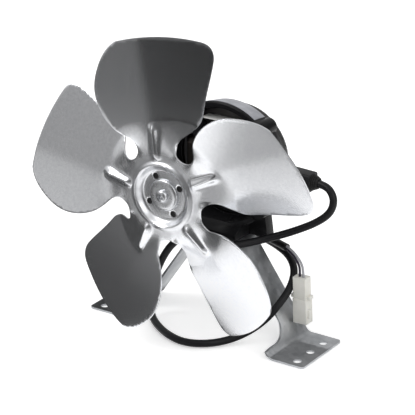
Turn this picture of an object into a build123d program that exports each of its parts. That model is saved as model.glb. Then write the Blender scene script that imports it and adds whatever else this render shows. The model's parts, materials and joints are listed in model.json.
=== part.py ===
"""Fan motor: a small shaded-pole motor on a folded foot bracket, driving a five-blade stamped fan.

The fan faces -Y, Z is up, and the origin lies on the floor at the centre of the foot holes.
"""

import math
import os

from build123d import *

# Overall places
axis_height = 109.2  # floor to shaft axis
hub_y = -50.1  # front face of the fan's hub plate
rim_y = 11.9  # front rim of the motor

# Clearances
running_gap = 0.03  # shaft in a bearing, radial
seat_gap = 0.05  # a piece in its seat, radial
screw_gap = 0.05  # screw thread in its tapped hole, radial
axial_gap = 0.1
relief_gap = 0.2  # cable in its strain relief, radial

# Fan, stamped from one sheet
fan_radius = 100.0
blade_count = 5
first_blade_turn = -9.0  # about +Y from straight up
fan_sheet = 1.0
blade_slope = 0.355  # rise of the blade for each mm across it
blade_camber = 0.0009
blade_set_back = 2.0
hub_flat_radius = 24.0
blade_full_radius = 44.0
rib_start = 22.0
rib_end = 47.5
rib_height = 2.2
rib_half_width = 3.4
dish_depth = 2.5  # hub plate behind the blades' roots
dish_floor_radius = 15.8
bead_radius = 20.6
bead_end_radius = 23.2
bead_height = 1.6
hub_vent_circle = 13.0
hub_vent_radius = 1.6
hub_vent_count = 4
hub_vent_turn = 70.0  # before the fan is turned to its place
hub_bore_radius = 4.0
notch_radius = 8.1
notch_circle = 37.1
notch_turn = 37.3  # clockwise from the rib, seen from the front
notch_flat = 5.0  # the sheet stays flat this far each side of a notch, in degrees
blade_lap = 2.5  # degrees
tip_rounding = 9.0
sheet_lap = 0.05

# Fan fixing
washer_radius = 10.5
washer_thickness = 1.0
washer_dome = 1.1
fan_screw_radius = 2.0
fan_screw_head_radius = 4.2
fan_screw_head_height = 2.7
fan_screw_grip = 13.5
adapter_flange_radius = 10.0
adapter_flange = 3.0
adapter_body_radius = 6.5
adapter_end_y = -27.0

# Shaft and rotor
shaft_radius = 3.0
shaft_end_y = 56.0
rotor_radius = 13.0
end_ring_radius = 11.8
end_ring_length = 3.0
collar_radius = 5.0
slinger_radius = 7.5
slinger_y = -14.0
slinger_thickness = 1.6
thrust_washer_radius = 5.2
thrust_washer_thickness = 1.0

# Stator stack
stack_radius = 35.6
stack_front_y = 22.0
stack_length = 14.0
air_gap = 0.4
pole_stem_width = 12.0
pole_shoe_depth = 3.6
pole_shoe_half_angle = 37.0
window_radius = 25.5
pocket_half_width = 12.9
pocket_reach = 29.6

# Coils on their bobbins
coil_half_width = 12.0
coil_inner_reach = 18.2
coil_outer_reach = 28.3
coil_front_y = 15.4
coil_rear_y = 39.8
bobbin_wall = 1.0
bobbin_flange_half = 15.4

# Front shield, a black cup with a pedestal and four ears
rim_radius = 42.2
rim_width = 3.6
shield_rear_y = 29.4
shield_rear_radius = 39.0
seat_lip_radius = 34.2
seat_lip = 2.5
spoke_width = 8.0
spoke_front_y = 13.0
spoke_rear_y = 18.0
nose_y = -8.0
nose_tip_radius = 11.0
nose_root_radius = 14.0
ear_circle = 38.3
ear_radius = 5.5
ear_front_y = rim_y + 1.5
ear_rear_y = 28.0
ear_hole_radius = 1.65
ear_hole_depth = 9.0
pedestal_half_width = 29.5
pedestal_front_y = 21.5
pad_half_width = 15.5
pad_front_y = 4.6
pad_toe = 4.4

# Bearings
bearing_radius = 7.5
bearing_length = 10.0
front_bearing_y = -4.0
rear_bearing_y = 46.0
felt_radius = 9.5
felt_inset = 2.0
retainer_thickness = 1.2
seal_radius = 4.5

# Rear shield
rear_shield_radius = 35.2
rear_shield_wall = 2.0
rear_boss_radius = 12.5
rear_boss_y = 58.0
bolt_circle = 29.0
bolt_radius = 2.0
bolt_head_radius = 3.4
bolt_head_height = 2.6
bolt_boss_radius = 5.4
bolt_boss = 2.6
vent_count = 4
vent_circle = 21.5
vent_width = 15.0

# Bare rating band
band_half_angle = 35.5
band_thickness = 0.3

# Cable plug on the side
plug_x = 40.4
plug_end_x = 57.0
plug_y = 32.4
plug_half_depth = 6.0
plug_top_z = 109.0
plug_bottom_z = 96.2
relief_end_x = 61.5

# Folded foot bracket
sheet = 1.5
bracket_front_y = 4.4
bracket_width = 21.0
pad_top_z = 61.6
leg_angle = 35.0  # from straight down
shoulder_x = 17.0
shoulder_radius = 8.0  # outside of the bend
foot_bend_radius = 5.0  # top side of the bend
foot_end_x = 84.0
foot_front_y = -22.0
foot_hole_x = 76.0
foot_hole_pitch = 15.6
foot_hole_radius = 2.8
foot_lip_z = 4.6
pad_screw_x = 8.0
pad_screw_y = 14.9
pad_screw_radius = 2.0
pad_screw_head_radius = 3.5
pad_screw_head_height = 2.8
pad_screw_depth = 7.5
spring_washer_thickness = 1.0

# Cable and its connector
cable_diameter = 5.0
wire_diameter = 1.6
connector_width = 10.5
connector_depth = 8.0
connector_socket_height = 17.0
connector_cap_height = 14.5
connector_foot = (58.5, 19.0, 10.6)
connector_lean = 2.3  # top leans back toward the leg
contact_size = 1.2

# Places worked out from the sizes above
shaft_axis = Axis((0, 0, axis_height), (0, 1, 0))
side_cut = Plane(origin=(0, 0, axis_height), x_dir=(1, 0, 0), z_dir=(0, 0, 1))
stack_rear_y = stack_front_y + stack_length
bore_radius = rotor_radius + air_gap
hub_back_y = hub_y + fan_sheet
web_y = hub_y - dish_depth  # front of the sheet round the hub
web_back_y = web_y + fan_sheet
rim_edge = 0.8  # bevel on the front rim
shield_taper = (rim_radius - shield_rear_radius) / (shield_rear_y - rim_y - rim_edge)


def ease(t):
    """Smooth step from 0 to 1 while t runs from 0 to 1."""
    t = min(max(t, 0.0), 1.0)
    return t * t * (3 - 2 * t)


def polar(radius, turn):
    """Point seen from the front, turned clockwise from straight up."""
    return (radius * math.sin(math.radians(turn)), radius * math.cos(math.radians(turn)))


def facing(y):
    """Plane across the shaft axis at y, drawn as it is seen from the front."""
    return Plane(origin=(0, y, axis_height), x_dir=(1, 0, 0), z_dir=(0, -1, 0))


def turned(*outline, mode=Mode.ADD):
    """Turn an outline of (radius, y) points about the shaft axis."""
    with BuildSketch(side_cut) as section:
        with BuildLine():
            Polyline(*outline, close=True)
        make_face()
    revolve(section.sketch, axis=shaft_axis, mode=mode)


def ring(inner, outer, start_y, end_y, mode=Mode.ADD):
    """Plain ring or, with inner 0, a disc on the shaft axis."""
    turned((inner, start_y), (outer, start_y), (outer, end_y), (inner, end_y), mode=mode)


def pins(radius, circle, count, start_turn, start_y, end_y, mode=Mode.ADD):
    """Round bars parallel to the shaft, evenly set on a circle."""
    with BuildSketch(facing(start_y)) as section:
        for k in range(count):
            with Locations(polar(circle, start_turn + 360 * k / count)):
                Circle(radius)
    extrude(section.sketch, amount=start_y - end_y, mode=mode)


def blade_rise(across, out):
    """How far the sheet lies behind the flat webs, for a blade that points straight up."""
    radius = math.hypot(across, out)
    turn = math.degrees(math.atan2(across, out))
    sector = 360 / blade_count
    from_notch = min(notch_turn - turn, turn - notch_turn + sector)
    level = ease((from_notch - notch_flat) / 11)
    level += (1 - level) * ease((radius - notch_circle + notch_radius - 1) / 9)
    pitched = blade_set_back + blade_slope * across + blade_camber * across**2
    pitched *= level * ease((radius - hub_flat_radius) / (blade_full_radius - hub_flat_radius))
    along = min(ease((out - rib_start) / 5), ease((rib_end - out) / 7))
    return pitched - rib_height * along * math.exp(-2 * (across / rib_half_width) ** 2)


def blade_front():
    """Front face of the blade that points straight up, as one spline surface."""
    half = [0, 1.4, 2.7, 4, 5.5, 7, 9, 12, 16, 21, 26, 31, 36]
    across_steps = [-a for a in reversed(half[1:])] + half + [39, 43]
    out_steps = [17, 19.5, 22, 24, 26, 28, 30, 32, 34.5, 37, 39.5, 42, 44, 46, 48, 51, 56, 63, 72, 82, 92]
    out_steps += [fan_radius + 2]
    rows = []
    for out in out_steps:
        rows.append([(a, web_y + sheet_lap + blade_rise(a, out), axis_height + out) for a in across_steps])
    return Face.make_surface_from_array_of_points(rows, tol=0.05)


sector = 360 / blade_count
arm_inner = hub_flat_radius - 1
notch_floor = notch_circle - notch_radius
notch_right = polar(notch_circle, notch_turn)
notch_left = polar(notch_circle, notch_turn - sector)
heel_start = (notch_right[0] - notch_radius * 0.5, notch_right[1] + notch_radius * 0.866)
lead_end = (notch_left[0] + notch_radius * 0.57, notch_left[1] + notch_radius * 0.822)
tip_corner = (42.3, fan_radius - 9.4)
tip_lead = polar(fan_radius, -9)
arm_right = notch_turn - blade_lap
arm_left = notch_turn - sector + blade_lap


def notch_point(away):
    """Radius of the notch's round floor, this many degrees from its middle."""
    away = math.radians(away)
    return notch_circle * math.cos(away) - math.sqrt(notch_radius**2 - (notch_circle * math.sin(away)) ** 2)


with BuildPart() as blade:
    thicken(blade_front(), amount=fan_sheet - 2 * sheet_lap, normal_override=(0, 1, 0))
    with BuildSketch(facing(web_y - 20)):
        with BuildLine():
            root = notch_point(blade_lap)
            Line(polar(arm_inner, arm_right), polar(root, arm_right))
            notch_side = (notch_right[0] - notch_radius, notch_right[1])
            ThreePointArc(polar(root, arm_right), notch_side, heel_start)
            Spline(heel_start, (27.4, 43.4), (30.3, 50), tangents=[(0.87, 0.5), (0.25, 1)])
            Spline((30.3, 50), (35.9, 67.5), tip_corner, tangents=[(0.25, 1), (0.13, 1)])
            ThreePointArc(tip_corner, polar(fan_radius, 8), tip_lead)
            Spline(tip_lead, (-29.1, 83), (-32.8, 70.8), (-31.4, 56.5), (-25, 44.5), lead_end,
                   tangents=[(-1, -0.45), (0.82, -0.57)])
            notch_side = (notch_left[0] + notch_radius, notch_left[1])
            ThreePointArc(lead_end, notch_side, polar(root, arm_left))
            Line(polar(root, arm_left), polar(arm_inner, arm_left))
            ThreePointArc(polar(arm_inner, arm_left), (0, arm_inner), polar(arm_inner, arm_right))
        make_face()
        fillet(vertices().sort_by_distance(tip_corner)[0], radius=tip_rounding)
    extrude(amount=-80, mode=Mode.INTERSECT)

with BuildPart() as fan:
    with BuildSketch(side_cut):
        with BuildLine():
            dish_front = (dish_floor_radius, hub_y)
            dish_back = (dish_floor_radius + 0.4 * fan_sheet, hub_back_y)
            crest = web_y - bead_height
            Line((hub_bore_radius, hub_y), dish_front)
            Spline(dish_front, (bead_radius, crest), (bead_end_radius, web_y), tangents=[(1, 0), (1, 0)])
            Polyline((bead_end_radius, web_y), (hub_flat_radius, web_y), (hub_flat_radius, web_back_y))
            Line((hub_flat_radius, web_back_y), (bead_end_radius, web_back_y))
            Spline((bead_end_radius, web_back_y), (bead_radius, crest + fan_sheet), dish_back,
                   tangents=[(-1, 0), (-1, 0)])
            Polyline(dish_back, (hub_bore_radius, hub_back_y), (hub_bore_radius, hub_y))
        make_face()
    revolve(axis=shaft_axis)
    with BuildSketch(facing(web_y)):
        for k in range(blade_count):
            middle = notch_turn + sector * k
            with BuildLine():
                Polyline(polar(arm_inner, middle - notch_flat), polar(notch_floor + 4, middle - notch_flat),
                         polar(notch_floor + 4, middle + notch_flat), polar(arm_inner, middle + notch_flat), close=True)
            make_face()
            with Locations(polar(notch_circle, middle)):
                Circle(notch_radius, mode=Mode.SUBTRACT)
    extrude(amount=-fan_sheet)
    for k in range(blade_count):
        add(blade.part.rotate(shaft_axis, sector * k))
    pins(hub_vent_radius, hub_vent_circle, hub_vent_count, hub_vent_turn, hub_y - 1, hub_y + 2, mode=Mode.SUBTRACT)
fan.part = fan.part.rotate(shaft_axis, first_blade_turn)
fan.part.label = "fan"

# Fan fixing
washer_front_y = hub_y - washer_thickness - washer_dome
with BuildPart() as fan_washer:
    with BuildSketch(side_cut):
        with BuildLine():
            bore = fan_screw_radius + seat_gap
            Line((bore, hub_y), (bore, washer_front_y))
            Line((bore, washer_front_y), (fan_screw_head_radius, washer_front_y))
            Spline((fan_screw_head_radius, washer_front_y), (washer_radius, hub_y - washer_thickness * 0.6),
                   tangents=[(1, 0.05), (0.3, 1)])
            Polyline((washer_radius, hub_y - washer_thickness * 0.6), (washer_radius, hub_y), (bore, hub_y))
        make_face()
    revolve(axis=shaft_axis)
fan_washer.part.label = "fan_washer"

shaft_front_y = hub_back_y + adapter_flange - 0.6
with BuildPart() as fan_screw:
    head_back = washer_front_y
    head_front = head_back - fan_screw_head_height
    with BuildSketch(side_cut):
        with BuildLine():
            Line((0, head_front), (1.6, head_front))
            Spline((1.6, head_front), (fan_screw_head_radius, head_back - 0.9), tangents=[(1, 0.1), (0.25, 1)])
            Polyline((fan_screw_head_radius, head_back - 0.9), (fan_screw_head_radius, head_back),
                     (fan_screw_radius - screw_gap, head_back), (fan_screw_radius - screw_gap, hub_y + fan_screw_grip),
                     (0, hub_y + fan_screw_grip), (0, head_front))
        make_face()
    revolve(axis=shaft_axis)
    with BuildSketch(facing(head_front - 0.2)):
        Rectangle(4.4, 0.9)
        Rectangle(0.9, 4.4)
    extrude(amount=-1.9, taper=8, mode=Mode.SUBTRACT)
fan_screw.part.label = "fan_screw"

with BuildPart() as hub_adapter:
    bore = shaft_radius + seat_gap
    turned((fan_screw_radius + seat_gap, hub_back_y), (adapter_flange_radius, hub_back_y),
           (adapter_flange_radius, hub_back_y + adapter_flange),
           (adapter_body_radius, hub_back_y + adapter_flange + 1), (adapter_body_radius, adapter_end_y),
           (bore, adapter_end_y), (bore, shaft_front_y - axial_gap),
           (fan_screw_radius + seat_gap, shaft_front_y - axial_gap))
    with BuildSketch(Plane.XY.offset(axis_height)):
        with Locations((0, adapter_end_y - 8)):
            Circle(1.6)
    extrude(amount=adapter_body_radius + 1, mode=Mode.SUBTRACT)
hub_adapter.part.label = "hub_adapter"

with BuildPart() as adapter_grub_screw:
    with BuildSketch(Plane.XY.offset(axis_height + bore)):
        with Locations((0, adapter_end_y - 8)):
            Circle(1.6 - screw_gap)
    extrude(amount=adapter_body_radius - bore)
    with BuildSketch(Plane.XY.offset(axis_height + adapter_body_radius)):
        with Locations((0, adapter_end_y - 8)):
            RegularPolygon(0.85, 6)
    extrude(amount=-1.6, mode=Mode.SUBTRACT)
adapter_grub_screw.part.label = "adapter_grub_screw"

# Shaft and rotor
with BuildPart() as rotor_shaft:
    turned((0, shaft_front_y), (shaft_radius - 0.4, shaft_front_y), (shaft_radius, shaft_front_y + 0.4),
           (shaft_radius, shaft_end_y - 0.5), (shaft_radius - 0.5, shaft_end_y), (0, shaft_end_y))
    ring(0, fan_screw_radius, shaft_front_y - 1, hub_y + fan_screw_grip + 1, mode=Mode.SUBTRACT)
rotor_shaft.part.label = "rotor_shaft"

front_retainer_y = front_bearing_y + bearing_length + seat_gap
rear_retainer_y = rear_bearing_y - seat_gap - retainer_thickness
front_thrust_y = front_retainer_y + retainer_thickness + axial_gap
rear_thrust_y = rear_retainer_y - axial_gap - thrust_washer_thickness
with BuildPart() as rotor_core:
    bore = shaft_radius + seat_gap
    ring(bore, rotor_radius, stack_front_y, stack_rear_y)
    for start, end in ((stack_front_y - end_ring_length, stack_front_y), (stack_rear_y, stack_rear_y + end_ring_length)):
        ring(bore, end_ring_radius, start, end)
    ring(bore, collar_radius, front_thrust_y + thrust_washer_thickness + seat_gap, stack_front_y - end_ring_length)
    ring(bore, collar_radius, stack_rear_y + end_ring_length, rear_thrust_y - seat_gap)
rotor_core.part.label = "rotor_core"

with BuildPart() as shaft_slinger:
    turned((shaft_radius + seat_gap, slinger_y), (collar_radius, slinger_y),
           (slinger_radius, slinger_y + 0.6), (slinger_radius, slinger_y + slinger_thickness),
           (shaft_radius + seat_gap, slinger_y + slinger_thickness))
shaft_slinger.part.label = "shaft_slinger"

with BuildPart() as front_thrust_washer:
    ring(shaft_radius + seat_gap, thrust_washer_radius, front_thrust_y, front_thrust_y + thrust_washer_thickness)
front_thrust_washer.part.label = "front_thrust_washer"

with BuildPart() as rear_thrust_washer:
    ring(shaft_radius + seat_gap, thrust_washer_radius, rear_thrust_y, rear_thrust_y + thrust_washer_thickness)
rear_thrust_washer.part.label = "rear_thrust_washer"

# Bearings, felts and retainers
with BuildPart() as front_bearing:
    ring(shaft_radius + running_gap, bearing_radius, front_bearing_y, front_bearing_y + bearing_length)
front_bearing.part.label = "front_bearing"

with BuildPart() as rear_bearing:
    ring(shaft_radius + running_gap, bearing_radius, rear_bearing_y, rear_bearing_y + bearing_length - 1)
rear_bearing.part.label = "rear_bearing"

front_felt_y = front_bearing_y + felt_inset
rear_felt_end_y = rear_bearing_y + bearing_length - 1 - felt_inset
with BuildPart() as front_oil_felt:
    ring(bearing_radius + seat_gap, felt_radius - seat_gap, front_felt_y + seat_gap, front_retainer_y - 0.3)
front_oil_felt.part.label = "front_oil_felt"

with BuildPart() as rear_oil_felt:
    ring(bearing_radius + seat_gap, felt_radius - seat_gap, rear_bearing_y + 0.3, rear_felt_end_y - seat_gap)
rear_oil_felt.part.label = "rear_oil_felt"

with BuildPart() as front_bearing_retainer:
    ring(seal_radius, felt_radius - seat_gap, front_retainer_y, front_retainer_y + retainer_thickness)
front_bearing_retainer.part.label = "front_bearing_retainer"

with BuildPart() as rear_bearing_retainer:
    ring(seal_radius, felt_radius - seat_gap, rear_retainer_y, rear_retainer_y + retainer_thickness)
rear_bearing_retainer.part.label = "rear_bearing_retainer"

# Front shield: one black cup with spokes, nose, ears and pedestal
with BuildPart() as front_shield:
    turned((rim_radius - rim_width, rim_y), (rim_radius - rim_edge, rim_y), (rim_radius, rim_y + rim_edge),
           (shield_rear_radius, shield_rear_y), (rim_radius - rim_width - 3, shield_rear_y),
           (rim_radius - rim_width - 3, rim_y + 2))
    pins(ear_radius, ear_circle, 4, 45, rim_y - 1, ear_rear_y)
    with BuildSketch(facing(pedestal_front_y)):
        foot = pad_top_z - axis_height
        Polygon((-pedestal_half_width, foot), (pedestal_half_width, foot), (pedestal_half_width - 1.7, foot + 13.4),
                (pedestal_half_width - 1.2, foot + 21.5), (1.2 - pedestal_half_width, foot + 21.5),
                (1.7 - pedestal_half_width, foot + 13.4), align=None)
    extrude(amount=pedestal_front_y - shield_rear_y)
    with BuildSketch(Plane.YZ.offset(-pad_half_width)):
        Polygon((pad_front_y, pad_top_z), (shield_rear_y, pad_top_z), (shield_rear_y, pad_top_z + 10.5),
                (rim_y + 0.5, pad_top_z + 9), (pad_front_y, pad_top_z + pad_toe), align=None)
    extrude(amount=2 * pad_half_width)
    turned((0, rim_y - 2), (rim_radius - rim_width, rim_y - 2), (rim_radius - rim_width, rim_y),
           (stack_radius + seat_gap + 0.6, stack_front_y - seat_lip), (seat_lip_radius, stack_front_y - seat_lip),
           (seat_lip_radius, stack_front_y), (stack_radius + seat_gap, stack_front_y),
           (stack_radius + seat_gap, shield_rear_y + 1), (0, shield_rear_y + 1), mode=Mode.SUBTRACT)
    pins(ear_radius, ear_circle, 4, 45, rim_y - 1, ear_front_y, mode=Mode.SUBTRACT)
    with BuildSketch(facing(ear_front_y)):
        for k in range(4):
            with Locations(polar(ear_circle, 45 + 90 * k)):
                Circle(ear_radius)
        Circle(seat_lip_radius - 1, mode=Mode.SUBTRACT)
    extrude(amount=ear_front_y - stack_front_y)
    with BuildSketch(facing(spoke_front_y)):
        with Locations(Rotation(0, 0, 45), Rotation(0, 0, -45)):
            Rectangle(spoke_width, 2 * (stack_radius + 0.6))
        Circle(nose_root_radius)
    extrude(amount=spoke_front_y - spoke_rear_y)
    pins(spoke_width / 2, bolt_circle, 4, 45, spoke_rear_y, stack_front_y)
    turned((seal_radius, nose_y), (nose_tip_radius - 0.8, nose_y), (nose_tip_radius, nose_y + 0.8),
           (nose_root_radius, spoke_front_y), (seal_radius, spoke_front_y))
    ring(0, felt_radius, front_felt_y, spoke_rear_y + 1, mode=Mode.SUBTRACT)
    ring(0, bearing_radius + seat_gap, front_bearing_y, front_felt_y, mode=Mode.SUBTRACT)
    ring(0, seal_radius, nose_y - 1, front_bearing_y, mode=Mode.SUBTRACT)
    pins(ear_hole_radius, ear_circle, 4, 45, ear_front_y - 0.5, ear_front_y + ear_hole_depth, mode=Mode.SUBTRACT)
    pins(bolt_radius, bolt_circle, 4, 45, spoke_front_y + 1, stack_front_y + 1, mode=Mode.SUBTRACT)
    with BuildSketch(Plane.XY.offset(pad_top_z)):
        with Locations((-pad_screw_x, pad_screw_y), (pad_screw_x, pad_screw_y)):
            Circle(pad_screw_radius)
    extrude(amount=pad_screw_depth, mode=Mode.SUBTRACT)
front_shield.part.label = "front_shield"

# Stator stack with four poles
with BuildPart() as stator_core:
    with BuildSketch(facing(stack_front_y)):
        Circle(stack_radius)
        Circle(window_radius, mode=Mode.SUBTRACT)
        Rectangle(2 * pocket_half_width, 2 * pocket_reach, mode=Mode.SUBTRACT)
        Rectangle(2 * pocket_reach, 2 * pocket_half_width, mode=Mode.SUBTRACT)
        with BuildSketch(mode=Mode.ADD):
            Circle(bore_radius + pole_shoe_depth)
            for k in range(4):
                with BuildLine():
                    gap = 45 - pole_shoe_half_angle
                    Polyline((0, 0), polar(30, 45 + 90 * k - gap), polar(30, 45 + 90 * k + gap), close=True)
                make_face(mode=Mode.SUBTRACT)
        Rectangle(pole_stem_width, 2 * pocket_reach + 1)
        Rectangle(2 * pocket_reach + 1, pole_stem_width)
        Circle(bore_radius, mode=Mode.SUBTRACT)
        for k in range(4):
            with Locations(polar(bolt_circle, 45 + 90 * k)):
                Circle(bolt_radius + seat_gap, mode=Mode.SUBTRACT)
    extrude(amount=-stack_length)
stator_core.part.label = "stator_core"

# One bobbin and one coil for the top pole, then three more of each round the shaft
stem = pole_stem_width / 2 + seat_gap


def slab(half_width, front, rear, start, end, mode=Mode.ADD, corner=0.0):
    """Block on the top pole, from one reach to another out from the shaft axis."""
    with BuildSketch(Plane.XY.offset(axis_height + start)) as outline:
        with Locations((0, (front + rear) / 2)):
            if corner:
                RectangleRounded(2 * half_width, rear - front, corner)
            else:
                Rectangle(2 * half_width, rear - front)
    extrude(outline.sketch, amount=end - start, mode=mode)


with BuildPart() as bobbin:
    sleeve = stem + bobbin_wall
    slab(sleeve, stack_front_y - 1.1, stack_rear_y + 1.1, coil_inner_reach - bobbin_wall, coil_outer_reach + bobbin_wall)
    slab(coil_half_width - 1, coil_front_y + 0.4, coil_rear_y - 0.4, coil_inner_reach - bobbin_wall, coil_inner_reach,
         corner=2)
    slab(coil_half_width - 0.6, coil_front_y - 0.6, coil_rear_y - 0.4, coil_outer_reach,
         coil_outer_reach + bobbin_wall)
    slab(bobbin_flange_half, coil_front_y - 0.6, stack_front_y - 0.2, coil_outer_reach,
         coil_outer_reach + bobbin_wall, corner=1)
    slab(stem, stack_front_y - seat_gap, stack_rear_y + seat_gap, coil_inner_reach - 2, coil_outer_reach + 2,
         mode=Mode.SUBTRACT)

with BuildPart() as coil:
    slab(coil_half_width - 0.2, coil_front_y, coil_rear_y - 0.3, coil_inner_reach + 0.05, coil_outer_reach - 0.05, corner=4)
    slab(sleeve + 0.1, stack_front_y - 1.2, stack_rear_y + 1.2, coil_inner_reach, coil_outer_reach, mode=Mode.SUBTRACT)

bobbins = [bobbin.part.rotate(shaft_axis, 90 * k) for k in range(4)]
coils = [coil.part.rotate(shaft_axis, 90 * k) for k in range(4)]

# Rear shield: a shallow vented dome that carries the rear bearing
rear_seat_y = stack_rear_y + seat_gap
dome_outer = [(rear_shield_radius, rear_seat_y), (rear_shield_radius - 0.4, stack_rear_y + 2),
              (rear_shield_radius - 1.6, stack_rear_y + 4.4), (28.6, stack_rear_y + 8.8),
              (23, stack_rear_y + 13.4), (17.6, stack_rear_y + 17.2), (rear_boss_radius, stack_rear_y + 19)]
dome_inner = [(rear_shield_radius - rear_shield_wall, rear_seat_y - 1),
              (rear_shield_radius - rear_shield_wall, stack_rear_y + 1.4), (32.2, stack_rear_y + 2.9),
              (27.3, stack_rear_y + 7.2), (21.7, stack_rear_y + 11.8), (16.6, stack_rear_y + 15.4),
              (rear_boss_radius, stack_rear_y + 19 - rear_shield_wall)]
with BuildPart() as rear_hollow:
    turned((rear_boss_radius, rear_seat_y - 1), *dome_inner)
    pins(bolt_boss_radius, bolt_circle, 4, 45, stack_rear_y - 2, rear_boss_y, mode=Mode.SUBTRACT)

with BuildPart() as rear_shield:
    turned((0, rear_seat_y), *dome_outer, (rear_boss_radius, rear_boss_y - 0.6), (rear_boss_radius - 0.6, rear_boss_y),
           (0, rear_boss_y))
    add(rear_hollow.part, mode=Mode.SUBTRACT)
    ring(0, rear_boss_radius, rear_seat_y - 1, rear_retainer_y, mode=Mode.SUBTRACT)
    pins(bolt_radius + 0.3, bolt_circle, 4, 45, stack_rear_y - 1, stack_rear_y + 5, mode=Mode.SUBTRACT)
    pins(bolt_head_radius + 0.5, bolt_circle, 4, 45, stack_rear_y + bolt_boss, rear_boss_y, mode=Mode.SUBTRACT)
    with BuildSketch(facing(stack_rear_y + 7)):
        for k in range(vent_count):
            with Locations(Location(polar(vent_circle, 90 * k), 90 * k)):
                SlotOverall(vent_width, 5)
    extrude(amount=-20, mode=Mode.SUBTRACT)
    ring(0, felt_radius, rear_retainer_y - 1, rear_felt_end_y, mode=Mode.SUBTRACT)
    ring(0, bearing_radius + seat_gap, rear_felt_end_y, rear_bearing_y + bearing_length - 1, mode=Mode.SUBTRACT)
    ring(0, seal_radius, rear_bearing_y + bearing_length - 2, rear_boss_y + 1, mode=Mode.SUBTRACT)
rear_shield.part.label = "rear_shield"

with BuildPart() as rear_cap:
    turned((0, rear_boss_y - 1.4), (seal_radius - seat_gap, rear_boss_y - 1.4), (seal_radius - seat_gap, rear_boss_y + 0.02),
           (seal_radius + 3, rear_boss_y + 0.02), (seal_radius + 2.4, rear_boss_y + 1.1), (0, rear_boss_y + 1.4))
rear_cap.part.label = "rear_cap"

with BuildPart() as tie_bolts:
    head_y = stack_rear_y + bolt_boss + 0.05
    pins(bolt_radius - screw_gap, bolt_circle, 4, 45, spoke_front_y + 1.5, head_y)
    pins(bolt_head_radius, bolt_circle, 4, 45, head_y, head_y + bolt_head_height)
    with BuildSketch(facing(head_y + bolt_head_height)):
        for k in range(4):
            with Locations(polar(bolt_circle, 45 + 90 * k)):
                Rectangle(2 * bolt_head_radius + 1, 1)
    extrude(amount=1.2, mode=Mode.SUBTRACT)
tie_bolts.part.label = "tie_bolts"

# Bare band round the top of the shield
with BuildPart() as rating_band:
    front_radius = rim_radius - (ear_front_y + 1 - rim_y - rim_edge) * shield_taper + seat_gap
    rear_radius = shield_rear_radius + 0.8 * shield_taper + seat_gap
    with BuildSketch(side_cut) as section:
        Polygon((front_radius, ear_front_y + 1), (front_radius + band_thickness, ear_front_y + 1),
                (rear_radius + band_thickness, shield_rear_y - 0.8), (rear_radius, shield_rear_y - 0.8), align=None)
    revolve(section.sketch.rotate(shaft_axis, -90 - band_half_angle), axis=shaft_axis,
            revolution_arc=2 * band_half_angle)
rating_band.part.label = "rating_band"

# Cable plug with its strain relief
plug_middle_z = (plug_top_z + plug_bottom_z) / 2
plug_height = plug_top_z - plug_bottom_z
with BuildPart() as cable_plug:
    with BuildSketch(Plane.YZ.offset(plug_x)):
        with Locations((plug_y, plug_middle_z)):
            RectangleRounded(2 * plug_half_depth, plug_height, 2.5)
    extrude(amount=plug_end_x - plug_x, taper=2)
    with BuildSketch(Plane.YZ.offset(30)):
        with Locations((plug_y + 0.6, plug_middle_z)):
            Rectangle(5.4, plug_height - 3)
    extrude(amount=plug_x - 30)
    ring(0, stack_radius + seat_gap, stack_front_y, stack_rear_y + 4, mode=Mode.SUBTRACT)
    with BuildSketch(Plane.YZ.offset(plug_end_x - 4)):
        with Locations((plug_y, plug_middle_z)):
            Circle(cable_diameter / 2 + seat_gap)
    extrude(amount=5, mode=Mode.SUBTRACT)
cable_plug.part.label = "cable_plug"

with BuildPart() as strain_relief:
    with BuildSketch(Plane.XY.offset(plug_middle_z)) as section:
        ribs = 4
        pitch = (relief_end_x - plug_end_x) / ribs
        outline = [(plug_end_x + 0.02, plug_y + cable_diameter / 2 + relief_gap)]
        for k in range(ribs):
            start = plug_end_x + 0.02 + pitch * k
            outline += [(start, plug_y + 5.4 - 0.5 * k), (start + pitch * 0.6, plug_y + 5.4 - 0.5 * k)]
            outline += [(start + pitch * 0.6, plug_y + 4.4 - 0.4 * k), (start + pitch, plug_y + 4.4 - 0.4 * k)]
        outline += [(relief_end_x + 0.02, plug_y + cable_diameter / 2 + relief_gap)]
        Polygon(*outline, align=None)
    revolve(section.sketch, axis=Axis((0, plug_y, plug_middle_z), (1, 0, 0)))
strain_relief.part.label = "strain_relief"

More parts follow.
